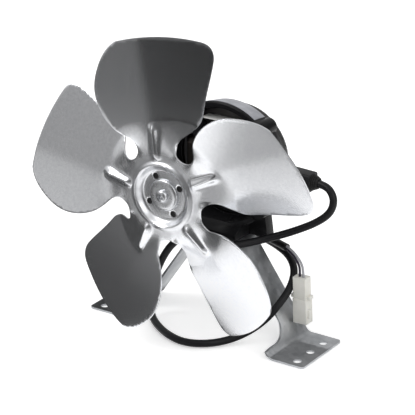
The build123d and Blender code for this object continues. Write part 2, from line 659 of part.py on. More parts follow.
# Folded foot bracket from one strip of sheet
slope = math.radians(leg_angle)
pad_under_z = pad_top_z - sheet
fold_x = shoulder_x - sheet / 2 * math.tan(math.radians(90 - leg_angle) / 2)
ankle_x = fold_x + (pad_top_z - sheet) * math.tan(slope)
with BuildPart() as bracket:
    with BuildSketch(Plane.XZ.offset(-bracket_front_y - bracket_width)):
        with BuildLine() as fold:
            half = FilletPolyline((0, pad_top_z - sheet / 2), (fold_x, pad_top_z - sheet / 2),
                                  (ankle_x, sheet / 2), (foot_end_x, sheet / 2),
                                  radius=[shoulder_radius - sheet / 2, foot_bend_radius + sheet / 2])
            mirror(half, about=Plane.YZ)
        trace(line_width=sheet)
    extrude(amount=bracket_front_y + bracket_width - foot_front_y)
    with BuildSketch(Plane.YZ.offset(-foot_end_x - 1)):
        with BuildLine():
            edge = foot_lip_z + 0.6
            Line((foot_front_y - 1, foot_lip_z), (foot_front_y, foot_lip_z))
            Spline((foot_front_y, foot_lip_z), (-15.4, edge), (-8.2, edge + 0.1), (-2.1, 6.9), (1.6, 9.5), (4.6, 14),
                   tangents=[(1, 0.1), (0.25, 1)])
            Line((4.6, 14), (bracket_front_y, pad_top_z + 1))
            Line((bracket_front_y, pad_top_z + 1), (foot_front_y - 1, pad_top_z + 1))
            Line((foot_front_y - 1, pad_top_z + 1), (foot_front_y - 1, foot_lip_z))
        make_face()
    extrude(amount=2 * foot_end_x + 2, mode=Mode.SUBTRACT)
    with BuildSketch(Plane.XY.offset(-1)):
        for side in (-1, 1):
            with Locations(*[(side * foot_hole_x, foot_hole_pitch * k) for k in (-1, 0, 1)]):
                Circle(foot_hole_radius)
    extrude(amount=sheet + 2, mode=Mode.SUBTRACT)
    with BuildSketch(Plane.XY.offset(pad_under_z - 1)):
        with Locations((-pad_screw_x, pad_screw_y), (pad_screw_x, pad_screw_y)):
            Circle(pad_screw_radius + 0.2)
    extrude(amount=sheet + 2, mode=Mode.SUBTRACT)
    corners = bracket.edges().filter_by(Axis.Z).filter_by_position(Axis.X, foot_end_x - 0.1, foot_end_x + 0.1)
    corners += bracket.edges().filter_by(Axis.Z).filter_by_position(Axis.X, -foot_end_x - 0.1, 0.1 - foot_end_x)
    fillet(corners, radius=2.5)
bracket.part.label = "bracket"

with BuildPart() as bracket_washers:
    with BuildSketch(Plane.XY.offset(pad_under_z)):
        for side in (-1, 1):
            with Locations((side * pad_screw_x, pad_screw_y)):
                Circle(pad_screw_head_radius)
                Circle(pad_screw_radius + 0.1, mode=Mode.SUBTRACT)
    extrude(amount=-spring_washer_thickness)
bracket_washers.part.label = "bracket_washers"

with BuildPart() as bracket_screws:
    head_z = pad_under_z - spring_washer_thickness
    with BuildSketch(Plane.XY.offset(head_z)):
        with Locations((-pad_screw_x, pad_screw_y), (pad_screw_x, pad_screw_y)):
            Circle(pad_screw_head_radius)
    extrude(amount=-pad_screw_head_height)
    with BuildSketch(Plane.XY.offset(head_z)):
        with Locations((-pad_screw_x, pad_screw_y), (pad_screw_x, pad_screw_y)):
            Circle(pad_screw_radius - screw_gap)
    extrude(amount=pad_top_z + pad_screw_depth - 0.5 - head_z)
    with BuildSketch(Plane.XY.offset(head_z - pad_screw_head_height)):
        with Locations((-pad_screw_x, pad_screw_y), (pad_screw_x, pad_screw_y)):
            RegularPolygon(1.7, 6)
    extrude(amount=1.6, mode=Mode.SUBTRACT)
bracket_screws.part.label = "bracket_screws"

# Cable: out of the plug, down past the bracket's shoulder, round on the floor and up to the rear
cable_route = [(plug_end_x - 1, plug_y, plug_middle_z), (63.4, plug_y, plug_middle_z), (70.4, 31.6, 100.4),
               (74.6, 29.6, 94.2), (72.2, 28.4, 85.8), (63.4, 26.8, 78.2), (50.5, 24.4, 71), (38.4, 20.6, 65.6),
               (27.8, 12, 62.6), (18.6, 1, 61.2), (7.5, -4.4, 61.6), (-4.5, -5.4, 63.2), (-17.5, -4.6, 61.6),
               (-28.4, -3.2, 53.4), (-36.6, -2.8, 41.5), (-41.8, -2.8, 30), (-45.2, -4, 18.6), (-43.6, -8.3, 8.4),
               (-38.5, -14, 2.9), (-27.6, -23, 2.6), (-13.8, -31, 2.6), (1, -35, 2.6), (14.2, -30, 2.6),
               (24.4, -18.8, 3), (34, -9, 7.6), (43, -1.6, 15.8), (48.8, 5, 25.4), (50.2, 16.2, 32.6),
               (48.4, 25.6, 41.2), (39.4, 33.6, 46.8), (27, 38.6, 49.4), (13.3, 44.1, 49.6), (0, 50.8, 49.6),
               (-14, 58.4, 49.8), (-29.6, 62.6, 50.2), (-44.4, 57.4, 51), (-51.4, 43.2, 52.2), (-44, 28.6, 53.6),
               (-28.6, 26.4, 54.8), (-14.4, 31.4, 55.4), (-2, 38, 55), (8.6, 41, 54), (18, 38.2, 54),
               (28.6, 33.4, 54.6), (39.6, 29.2, 54.6)]
dark_wire_route = [(39.93, 29.07, 53.7), (44.2, 27.4, 52.4), (49.4, 25.2, 49.8), (53.6, 22.4, 47),
                   (55.8, 19.2, 44.2), (56.2, 19, 35.6)]
light_wire_route = [(39.93, 29.07, 55.5), (44.8, 27.2, 54.6), (50.8, 25, 51.6), (55.8, 22.2, 48.4),
                    (58.5, 19.2, 44.6), (59, 19, 35.6)]


def cord_fillets(points):
    """Bend radii that leave a straight bit in each run."""
    radii = []
    for a, b, c in zip(points, points[1:], points[2:]):
        before = Vector(*b) - Vector(*a)
        after = Vector(*c) - Vector(*b)
        half = math.radians(before.get_angle(after)) / 2
        radii.append(round(0.45 * min(before.length, after.length) / math.tan(half), 2))
    return radii


def cord(points, diameter):
    """Round cord that follows a path of runs and bends."""
    with BuildLine() as path:
        FilletPolyline(*points, radius=cord_fillets(points))
    start = Vector(*points[1]) - Vector(*points[0])
    with BuildSketch(Plane(origin=points[0], z_dir=start)) as section:
        Circle(diameter / 2)
    sweep(section.sketch, path=path.wires()[0])
    return path


with BuildPart() as cable:
    cable_path = cord(cable_route, cable_diameter)
cable.part.label = "cable"

with BuildPart() as wire_dark:
    dark_path = cord(dark_wire_route, wire_diameter)
wire_dark.part.label = "wire_dark"

with BuildPart() as wire_light:
    light_path = cord(light_wire_route, wire_diameter)
wire_light.part.label = "wire_light"

# Two-pole connector on the end of the wires: a plug set in a socket
lean = math.radians(connector_lean)
upright = (-math.sin(lean), 0, math.cos(lean))
connector_base = Plane(origin=connector_foot, x_dir=(math.cos(lean), 0, math.sin(lean)), z_dir=upright)
pole_x = 1.4
plug_nose = 8.0
nose_gap = 0.1
with BuildPart() as connector_socket:
    with BuildSketch(connector_base):
        RectangleRounded(connector_width, connector_depth, 0.8)
    extrude(amount=connector_socket_height)
    with BuildSketch(connector_base.offset(connector_socket_height)):
        Rectangle(connector_width - 2.4, connector_depth - 2.2)
    extrude(amount=-plug_nose - nose_gap, mode=Mode.SUBTRACT)
    with BuildSketch(connector_base.offset(-0.1)):
        for side in (-1, 1):
            with Locations((side * pole_x, 0)):
                Rectangle(contact_size + 0.6, contact_size + 1.4)
    extrude(amount=connector_socket_height, mode=Mode.SUBTRACT)
    with BuildSketch(connector_base.offset(4)):
        with Locations((connector_width / 2 + 0.6, -1)):
            Rectangle(1.4, 3)
    extrude(amount=6)
connector_socket.part.label = "connector_socket"

with BuildPart() as connector_plug:
    with BuildSketch(connector_base.offset(connector_socket_height + 0.02)):
        RectangleRounded(connector_width - 0.8, connector_depth - 0.8, 0.7)
    extrude(amount=connector_cap_height)
    with BuildSketch(connector_base.offset(connector_socket_height + 0.02)):
        Rectangle(connector_width + 3.4, connector_depth - 3.4)
    extrude(amount=2.2)
    with BuildSketch(connector_base.offset(connector_socket_height + 0.1)):
        Rectangle(connector_width - 2.4 - 2 * nose_gap, connector_depth - 2.2 - 2 * nose_gap)
    extrude(amount=-plug_nose)
    with BuildSketch(connector_base.offset(connector_socket_height + connector_cap_height + 0.1)):
        for side in (-1, 1):
            with Locations((side * pole_x, 0)):
                Circle(wire_diameter / 2 + 0.35)
    extrude(amount=-8, mode=Mode.SUBTRACT)
    with BuildSketch(connector_base.offset(connector_socket_height - plug_nose)):
        for side in (-1, 1):
            with Locations((side * pole_x, 0)):
                Rectangle(contact_size + 0.1, contact_size + 0.1)
    extrude(amount=plug_nose + 7, mode=Mode.SUBTRACT)
connector_plug.part.label = "connector_plug"

with BuildPart() as contacts:
    with BuildSketch(connector_base.offset(2)):
        for side in (-1, 1):
            with Locations((side * pole_x, 0)):
                Rectangle(contact_size, contact_size)
    extrude(amount=connector_socket_height + 4)
contacts.part.label = "contacts"

pieces = [fan, fan_washer, fan_screw, hub_adapter, adapter_grub_screw, rotor_shaft, rotor_core, shaft_slinger,
          front_thrust_washer, rear_thrust_washer, front_bearing, rear_bearing, front_oil_felt, rear_oil_felt,
          front_bearing_retainer, rear_bearing_retainer, front_shield, stator_core, rear_shield, rear_cap,
          tie_bolts, rating_band, cable_plug, strain_relief, bracket, bracket_washers, bracket_screws, cable,
          wire_dark, wire_light, connector_socket, connector_plug, contacts]

if __name__ == "__main__":
    os.makedirs("parts", exist_ok=True)
    for piece in pieces:
        export_step(piece.part, "parts/" + piece.part.label + ".step")
    for k in range(4):
        coils[k].label = "coil_" + str(k + 1)
        bobbins[k].label = "bobbin_" + str(k + 1)
        export_step(coils[k], "parts/coil_" + str(k + 1) + ".step")
        export_step(bobbins[k], "parts/bobbin_" + str(k + 1) + ".step")
    for name, route, path, width in (("cable", cable_route, cable_path, cable_diameter),
                                     ("wire_dark", dark_wire_route, dark_path, wire_diameter),
                                     ("wire_light", light_wire_route, light_path, wire_diameter)):
        print(name, "radii", cord_fillets(route))
        print(name, "section times length", path.wires()[0].length * math.pi * width**2 / 4)
    print("volumes", cable.part.volume, wire_dark.part.volume, wire_light.part.volume)
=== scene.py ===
"""Looks of the fan motor: finishes, cords and finished copies of the CAD pieces, in plain studio light."""

import json
import math

import bpy
import numpy as np
from mathutils import Matrix, Vector
from mathutils.geometry import delaunay_2d_cdt


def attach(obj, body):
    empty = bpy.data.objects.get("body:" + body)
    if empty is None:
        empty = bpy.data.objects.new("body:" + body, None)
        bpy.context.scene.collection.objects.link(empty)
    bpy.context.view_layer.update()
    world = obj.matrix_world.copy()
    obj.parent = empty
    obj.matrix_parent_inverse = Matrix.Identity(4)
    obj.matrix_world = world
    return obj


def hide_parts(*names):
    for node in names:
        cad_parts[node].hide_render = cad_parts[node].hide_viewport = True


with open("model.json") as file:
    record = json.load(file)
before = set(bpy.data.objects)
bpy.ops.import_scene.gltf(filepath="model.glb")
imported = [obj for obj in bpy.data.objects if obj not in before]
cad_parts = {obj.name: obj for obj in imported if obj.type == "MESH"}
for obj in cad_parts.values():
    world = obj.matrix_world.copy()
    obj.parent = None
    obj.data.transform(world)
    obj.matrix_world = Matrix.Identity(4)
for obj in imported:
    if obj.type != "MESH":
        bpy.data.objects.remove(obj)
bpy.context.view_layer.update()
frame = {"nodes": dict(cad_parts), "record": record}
MM = 0.001

# The fan in millimetres and degrees. Turns run clockwise from straight up, seen from the front.
axis_height = 109.2
hub_y = -50.1  # front of the dished hub plate
web_y = hub_y - 2.5  # front of the flat webs between the blades
sheet = 0.9
sheet_setback = 0.05  # behind the front of the CAD's hub, flush with the CAD's blades
fan_radius = 100.0
blade_count = 5
sector = 360 / blade_count
first_blade_turn = -9.0
notch_radius = 8.1
notch_circle = 37.1
notch_turn = 37.3
shaft_hole_radius = 4.0
vent_count = 4
vent_radius = 2.1
vent_circle = 13.0
vent_turn = 70.0
hub_rim_radius = 23.2
hub_lip_radius = 21.5


class Value:
    """A shader socket that takes part in sums."""

    def __init__(self, finish, socket):
        self.finish = finish
        self.socket = socket

    def __add__(self, other):
        return self.finish.maths("ADD", self, other)

    def __sub__(self, other):
        return self.finish.maths("SUBTRACT", self, other)

    def __rsub__(self, other):
        return self.finish.maths("SUBTRACT", other, self)

    def __mul__(self, other):
        return self.finish.maths("MULTIPLY", self, other)

    __radd__ = __add__
    __rmul__ = __mul__

    def spread(self, low, high):
        """The same value, set out between two numbers."""
        return self * (high - low) + low


class Finish:
    """One material, its shader and the nodes that feed it."""

    def __init__(self, name):
        self.material = bpy.data.materials.new(name)
        self.material.use_nodes = True
        self.tree = self.material.node_tree
        self.shader = self.tree.nodes["Principled BSDF"]

    def feed(self, socket, value):
        if isinstance(value, Value):
            self.tree.links.new(value.socket, socket)
        else:
            socket.default_value = value

    def node(self, kind, settings=None, inputs=None, output=0):
        """New node with its settings and inputs, given as the value of one of its outputs."""
        made = self.tree.nodes.new(kind)
        for name, setting in (settings or {}).items():
            setattr(made, name, setting)
        for socket, value in (inputs or {}).items():
            self.feed(made.inputs[socket], value)
        return Value(self, made.outputs[output])

    def where(self):
        return self.node("ShaderNodeTexCoord", output="Object")

    def maths(self, operation, first, second=0.0):
        return self.node("ShaderNodeMath", {"operation": operation}, {0: first, 1: second})

    def noise(self, scale, stretch=(1, 1, 1), detail=3.0, roughness=0.5):
        place = self.node("ShaderNodeMapping", inputs={"Vector": self.where(), "Scale": stretch})
        return self.node("ShaderNodeTexNoise", output="Fac", inputs={
            "Vector": place, "Scale": scale, "Detail": detail, "Roughness": roughness})

    def layers(self, scale, distortion=0.0, detail=2.0):
        """Stripes that follow each other from front to back."""
        return self.node("ShaderNodeTexWave", {"wave_type": "BANDS", "bands_direction": "Y"}, {
            "Vector": self.where(), "Scale": scale, "Distortion": distortion, "Detail": detail}, "Fac")

    def between(self, low, high, amount):
        """Colour that runs from low to high."""
        low, high = [c if isinstance(c, Value) else (*c, 1) for c in (low, high)]
        return self.node("ShaderNodeMix", {"data_type": "RGBA"}, {0: amount, 6: low, 7: high}, 2)

    def bump(self, height, strength, distance=0.0001):
        self.feed(self.shader.inputs["Normal"], self.node("ShaderNodeBump", inputs={
            "Height": height, "Strength": strength, "Distance": distance}))

    def set(self, **inputs):
        for name, value in inputs.items():
            self.feed(self.shader.inputs[name.replace("_", " ")], value)


def blade_aluminium():
    """Mill-finish sheet, clouded and speckled, and duller where the lip is pressed round the hub."""
    lip_width, lip_fade, lip_dullness = 4 * MM, 9 * MM, 0.09
    f = Finish("mill_aluminium")
    rolled = f.noise(90, (30, 3, 0.6), detail=4, roughness=0.65)
    cloud = f.noise(22)
    grain = f.noise(2600, detail=2)
    speckle = f.noise(620, roughness=0.7)
    flat = f.node("ShaderNodeVectorMath", {"operation": "MULTIPLY"}, {0: f.where(), 1: (1, 0, 1)})
    from_axis = f.node("ShaderNodeVectorMath", {"operation": "DISTANCE"},
                       {0: flat, 1: (0, 0, axis_height * MM)}, "Value")
    from_lip = f.maths("ABSOLUTE", from_axis - hub_lip_radius * MM)
    dull = f.node("ShaderNodeMapRange", inputs={
        "Value": from_lip, "From Min": lip_width, "From Max": lip_fade, "To Min": lip_dullness, "To Max": 0.0})
    tone = cloud * 0.4 + (speckle - 0.5) * 0.9 + 0.35
    f.set(Base_Color=f.between((0.66, 0.675, 0.71), (0.93, 0.935, 0.95), tone), Metallic=1.0,
          Roughness=rolled.spread(0.17, 0.25) + dull)
    f.bump(rolled * 0.6 + grain * 0.3, 0.025)
    return f.material


def plain_metal(name, low, high, smoothest, roughest):
    f = Finish(name)
    cloud = f.noise(140)
    fine = f.noise(1800, detail=2)
    f.set(Base_Color=f.between(low, high, cloud), Metallic=1.0, Roughness=cloud.spread(smoothest, roughest))
    f.bump(fine, 0.08)
    return f.material


def galvanised():
    """Zinc-dipped sheet with its spangle and darker stains."""
    f = Finish("galvanised_sheet")
    cells = f.node("ShaderNodeTexVoronoi", output="Color", inputs={
        "Vector": f.where(), "Scale": 260.0, "Randomness": 1.0})
    spangle = f.node("ShaderNodeSeparateColor", inputs={"Color": cells}, output="Red")
    cloud = f.noise(60, detail=4)
    stain = spangle * 0.25 + (f.noise(34, detail=4) - 0.5) * 1.6 + 0.33
    f.set(Base_Color=f.between((0.30, 0.315, 0.33), (0.72, 0.73, 0.75), stain), Metallic=1.0,
          Roughness=(spangle * 0.35 + cloud * 0.65).spread(0.34, 0.52))
    f.bump(f.noise(900), 0.10)
    return f.material


def black_enamel():
    """Baked black paint with a light orange peel."""
    f = Finish("black_enamel")
    peel = f.noise(420, detail=2)
    cloud = f.noise(40)
    f.set(Base_Color=f.between((0.006, 0.006, 0.007), (0.014, 0.014, 0.015), cloud),
          Roughness=cloud.spread(0.20, 0.32), Coat_Weight=0.04, Coat_Roughness=0.08, Specular_IOR_Level=0.08)
    f.bump(peel, 0.16)
    return f.material


def rubber(name, colour, rough):
    """Rubber or soft plastic of one colour, a little lighter in its fine grain."""
    f = Finish(name)
    fine = f.noise(700)
    lighter = tuple(c * 1.6 + 0.004 for c in colour)
    f.set(Base_Color=f.between(colour, lighter, fine), Roughness=fine.spread(rough - 0.07, rough + 0.07),
          Specular_IOR_Level=0.2)
    f.bump(fine, 0.12)
    return f.material


def nylon(name, low, high):
    f = Finish(name)
    cloud = f.noise(150)
    fine = f.noise(1500, detail=2)
    f.set(Base_Color=f.between(low, high, cloud), Roughness=fine.spread(0.36, 0.48),
          Subsurface_Weight=0.12, Subsurface_Radius=(0.002, 0.0018, 0.0014), Subsurface_Scale=1.0)
    f.bump(fine, 0.05)
    return f.material


def bobbin_nylon():
    """White nylon at the outer flanges, and painted shade over the rest: near black, where the bobbins lie
    deep in the motor.
    """
    flange_from_axis = 28.1 * MM
    f = Finish("bobbin_nylon")
    height = f.node("ShaderNodeSeparateXYZ", inputs={"Vector": f.where()}, output="Z")
    flange = f.maths("GREATER_THAN", f.maths("ABSOLUTE", height - axis_height * MM), flange_from_axis)
    cloud = f.noise(150)
    white = f.between((0.62, 0.62, 0.60), (0.78, 0.78, 0.76), cloud)
    # Between the flanges the colour is painted shade, near black, not the nylon's own white.
    f.set(Base_Color=f.between((0.010, 0.010, 0.011), white, flange), Roughness=cloud.spread(0.36, 0.50))
    f.bump(f.noise(700, detail=2), 0.08)
    return f.material


def silver_band():
    """Silver foil, finely brushed and unevenly bright."""
    f = Finish("silver_band")
    brushed = f.noise(120, (1, 40, 1))
    cloud = f.noise(60)
    f.set(Base_Color=f.between((0.26, 0.27, 0.30), (0.60, 0.61, 0.65), (cloud - 0.5) * 1.8 + 0.5),
          Metallic=0.5, Roughness=brushed.spread(0.34, 0.48))
    f.bump(brushed, 0.04)
    return f.material


def winding():
    f = Finish("copper_winding")
    turns = f.layers(900.0, distortion=1.2, detail=1.0)
    # The winding is coloured near black instead of copper: painted shade for coils that lie deep in the motor.
    f.set(Base_Color=f.between((0.006, 0.005, 0.004), (0.018, 0.012, 0.009), turns), Roughness=0.42,
          Specular_IOR_Level=0.2)
    f.bump(turns, 0.5, 0.0002)
    return f.material


def laminations():
    f = Finish("laminations")
    sheets = f.layers(620.0)
    rust = f.noise(120, detail=5, roughness=0.7)
    tone = sheets.spread(0.2, 0.7) * rust + 0.2
    # The steel is coloured very dark as painted shade for the stack's face in the recess behind the front
    # shield; the sheet lines and rust are its own.
    f.set(Base_Color=f.between((0.03, 0.03, 0.032), (0.14, 0.135, 0.13), tone), Metallic=0.9, Roughness=0.5)
    f.bump(sheets, 0.4)
    return f.material


def felt():
    f = Finish("oil_felt")
    fuzz = f.noise(900, detail=5, roughness=0.8)
    f.set(Base_Color=f.between((0.42, 0.38, 0.30), (0.66, 0.62, 0.54), fuzz), Roughness=0.95)
    f.bump(fuzz, 0.7, 0.0003)
    return f.material


finishes = {
    "blade_aluminium": blade_aluminium(),
    "black_casting": black_enamel(),
    "lamination": laminations(),
    "copper_winding": winding(),
    "white_nylon": bobbin_nylon(),
    "bright_steel": plain_metal("bright_steel", (0.55, 0.55, 0.56), (0.70, 0.70, 0.71), 0.22, 0.34),
    "zinc_plate": plain_metal("zinc_plate", (0.60, 0.61, 0.63), (0.78, 0.79, 0.81), 0.20, 0.34),
    "black_steel": plain_metal("black_steel", (0.05, 0.05, 0.05), (0.09, 0.09, 0.09), 0.35, 0.5),
    "turned_aluminium": plain_metal("turned_aluminium", (0.66, 0.66, 0.67), (0.80, 0.80, 0.81), 0.25, 0.4),
    "black_rubber": rubber("black_rubber", (0.012, 0.012, 0.012), 0.5),
    "natural_nylon": nylon("natural_nylon", (0.70, 0.67, 0.58), (0.80, 0.77, 0.68)),
    "bearing_bronze": plain_metal("bearing_bronze", (0.36, 0.24, 0.11), (0.52, 0.36, 0.17), 0.35, 0.55),
    "felt": felt(),
    "black_plastic": rubber("black_plastic", (0.011, 0.011, 0.012), 0.38),
    "silver_band": silver_band(),
    "galvanised_sheet": galvanised(),
    "cable_jacket": rubber("cable_jacket", (0.007, 0.007, 0.008), 0.34),
    "dark_wire": rubber("dark_wire", (0.035, 0.030, 0.045), 0.4),
    "light_wire": rubber("light_wire", (0.34, 0.34, 0.36), 0.4),
    "cream_nylon": nylon("cream_nylon", (0.74, 0.73, 0.67), (0.86, 0.85, 0.80)),
    "contact_brass": plain_metal("contact_brass", (0.55, 0.40, 0.14), (0.72, 0.55, 0.24), 0.25, 0.4),
}
slot_of = {s["node"]: s["material_slot"] for s in frame["record"]["subparts"]}
for node, piece in frame["nodes"].items():
    piece.data.materials.clear()
    piece.data.materials.append(finishes[slot_of[node]])


def only(piece=None):
    """Select this object and nothing else, or nothing at all."""
    bpy.ops.object.select_all(action="DESELECT")
    if piece is not None:
        piece.select_set(True)
        bpy.context.view_layer.objects.active = piece


def break_edges(piece, width, steps, angle):
    """Bevel of a width in millimetres on every edge that turns by more than an angle in degrees."""
    bevel = piece.modifiers.new("broken_edges", "BEVEL")
    bevel.width = width * MM
    bevel.segments = steps
    bevel.limit_method = "ANGLE"
    bevel.angle_limit = math.radians(angle)
    bpy.ops.object.modifier_apply(modifier=bevel.name)


def finished(node, edge, steps=2):
    """Copy of a CAD node with its triangles merged, its edges broken and its curves smooth."""
    same_place, same_plane, edge_angle, smooth_angle = 2e-6, 0.4, 32, 34
    only(frame["nodes"][node])
    bpy.ops.object.duplicate()
    piece = bpy.context.object
    piece.name = node + "_finished"
    piece.parent = None
    for key in [k for k in piece.keys() if k.startswith("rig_")]:
        del piece[key]
    bpy.ops.object.mode_set(mode="EDIT")
    bpy.ops.mesh.select_all(action="SELECT")
    bpy.ops.mesh.remove_doubles(threshold=same_place)
    bpy.ops.mesh.dissolve_limited(angle_limit=math.radians(same_plane))
    bpy.ops.object.mode_set(mode="OBJECT")
    break_edges(piece, edge, steps, edge_angle)
    bpy.ops.object.shade_smooth_by_angle(angle=math.radians(smooth_angle))
    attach(piece, next(b for b, nodes in frame["record"]["behaviour"]["bodies"].items() if node in nodes))
    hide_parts(node)
    return piece


def ease(t):
    t = np.clip(t, 0.0, 1.0)
    return t * t * (3 - 2 * t)


def polar(radius, turn):
    return np.array((radius * math.sin(math.radians(turn)), radius * math.cos(math.radians(turn))))


def blade_rise(across, out):
    """How far the sheet lies behind the flat webs, for a blade that points straight up."""
    radius = np.hypot(across, out)
    turn = np.degrees(np.arctan2(across, out))

    # Share of the full pitch: none on the webs at the notches, all of it along the blade
    web_half_turn, web_ramp = 5, 11
    web_radius, web_run = notch_circle - notch_radius + 1, 9
    twist_radius, twist_run = 23, 27
    from_notch = np.minimum(notch_turn - turn, turn - notch_turn + sector)
    level = ease((from_notch - web_half_turn) / web_ramp)
    level = level + (1 - level) * ease((radius - web_radius) / web_run)
    level = level * ease((radius - twist_radius) / twist_run)

    # Pitched blade with a soft crease down its middle
    middle_rise, pitch = 2, 0.355
    crease, crease_across, crease_softness, crease_drop = 0.042, -2, 12, 3.5
    fold = crease * (np.sqrt((across - crease_across) ** 2 + crease_softness) - crease_drop)

    # Rib pressed forwards along the arm of the blade
    rib_start, rib_end, rib_height, rib_width = 22, 47.5, 2.2, 3.4
    along = np.minimum(ease((out - rib_start) / 5), ease((rib_end - out) / 7))
    rib = rib_height * along * np.exp(-2 * (across / rib_width) ** 2)
    return (middle_rise + pitch * across + fold) * level - rib


def smooth_run(points, start, end, steps):
    """Smooth curve through points, with its directions at both ends."""
    points = np.array(points, float)
    chords = np.linalg.norm(np.diff(points, axis=0), axis=1)
    count = len(points)
    system, wanted = np.eye(count), np.zeros((count, 2))
    wanted[0] = np.array(start) / np.linalg.norm(start)
    wanted[-1] = np.array(end) / np.linalg.norm(end)
    for i in range(1, count - 1):
        before, after = chords[i - 1], chords[i]
        system[i, i - 1:i + 2] = after, 2 * (before + after), before
        wanted[i] = 3 * (after * (points[i] - points[i - 1]) / before
                         + before * (points[i + 1] - points[i]) / after)
    slopes = np.linalg.solve(system, wanted)
    t = np.linspace(0, 1, steps, endpoint=False)[:, None]
    from_place, to_place = 2 * t**3 - 3 * t**2 + 1, 3 * t**2 - 2 * t**3
    from_slope, to_slope = t**3 - 2 * t**2 + t, t**3 - t**2
    run = [from_place * points[i] + to_place * points[i + 1]
           + (from_slope * slopes[i] + to_slope * slopes[i + 1]) * chords[i] for i in range(count - 1)]
    return np.vstack(run + [points[-1:]])


def arc(centre, start, end, steps):
    """Round run about a centre, the short way from start to end."""
    first, last = start - centre, end - centre
    radius = np.linalg.norm(first)
    begin = math.atan2(first[1], first[0])
    swing = (math.atan2(last[1], last[0]) - begin + math.pi) % (2 * math.pi) - math.pi
    turns = begin + swing * np.linspace(0, 1, steps)
    return centre + radius * np.stack((np.cos(turns), np.sin(turns)), 1)


def blade_edge():
    """Edge of the blade that points straight up, from its right notch round the tip to its left notch."""
    right, left = polar(notch_circle, notch_turn), polar(notch_circle, notch_turn - sector)
    right_floor = polar(notch_circle - notch_radius, notch_turn)
    left_floor = polar(notch_circle - notch_radius, notch_turn - sector)
    right_side, left_side = right - (notch_radius, 0), left + (notch_radius, 0)
    heel = right + notch_radius * np.array((-0.5, 0.866))
    lead = left + notch_radius * np.array((0.57, 0.822))
    flank, flank_slope = (30.3, 50), (0.25, 1)
    tip, shoulder = np.array((42.3, fan_radius - 9.4)), polar(fan_radius, -9)
    leading_points = [shoulder, (-29.1, 83), (-32.8, 70.8), (-31.4, 56.5), (-25, 44.5), lead]

    # A smooth bend takes the place of the sharp corner at the tip
    corner_reach = 8
    trailing = smooth_run([flank, (35.9, 67.5), tip], flank_slope, (0.13, 1), 24)
    trailing = trailing[np.linalg.norm(trailing - tip, axis=1) > corner_reach]
    outer = arc(np.zeros(2), tip, shoulder, 60)
    outer = outer[np.linalg.norm(outer - tip, axis=1) > corner_reach]
    t = np.linspace(0, 1, 14)[:, None]
    corner = (1 - t) ** 2 * trailing[-1] + 2 * t * (1 - t) * tip + t**2 * outer[0]

    return np.vstack((arc(right, right_floor, right_side, 12)[:-1],
                      arc(right, right_side, heel, 8)[:-1],
                      smooth_run([heel, (27.4, 43.4), flank], (0.87, 0.5), flank_slope, 8)[:-1],
                      trailing[:-1],
                      corner,
                      outer[1:-1],
                      smooth_run(leading_points, (-1, -0.45), (0.82, -0.57), 14)[:-1],
                      arc(left, lead, left_side, 12)[:-1],
                      arc(left, left_side, left_floor, 12)[:-1]))


def turned(points, turn):
    """Points turned clockwise about the shaft, seen from the front."""
    c, s = math.cos(math.radians(turn)), math.sin(math.radians(turn))
    return np.stack((points[:, 0] * c + points[:, 1] * s, points[:, 1] * c - points[:, 0] * s), 1)


def circle(centre, radius, count):
    turns = np.linspace(0, 2 * math.pi, count, endpoint=False)
    return np.array(centre) + radius * np.stack((np.cos(turns), np.sin(turns)), 1)


def inside(points, loop):
    """Which points lie inside a closed loop."""
    result = np.zeros(len(points), bool)
    for a, b in zip(loop, np.roll(loop, -1, axis=0)):
        crosses = (a[1] > points[:, 1]) != (b[1] > points[:, 1])
        if crosses.any():
            meets = (b[0] - a[0]) * (points[:, 1] - a[1]) / (b[1] - a[1] + 1e-12) + a[0]
            result ^= crosses & (points[:, 0] < meets)
    return result


def inside_sheet(points, rim, holes):
    """Which points lie inside the rim and outside every hole."""
    keep = inside(points, rim)
    for hole in holes:
        keep &= ~inside(points, hole)
    return keep


def spaced(points, radius_from, radius_to, step):
    """Triangle pattern between two radii, clear of the given points."""
    row_step, clearance, batch = step * 0.866, step * 0.55, 2000
    columns = np.arange(-fan_radius, fan_radius, step)
    rows = np.arange(-fan_radius, fan_radius, row_step)
    grid = np.array([(x + (i % 2) * step / 2, z) for i, z in enumerate(rows) for x in columns])
    radius = np.hypot(*grid.T)
    grid = grid[(radius >= radius_from) & (radius < radius_to)]
    keep = np.ones(len(grid), bool)
    for start in range(0, len(grid), batch):
        part = grid[start:start + batch]
        gaps = np.linalg.norm(part[:, None] - points[None], axis=2).min(1)
        keep[start:start + batch] = gaps > clearance
    return grid[keep]


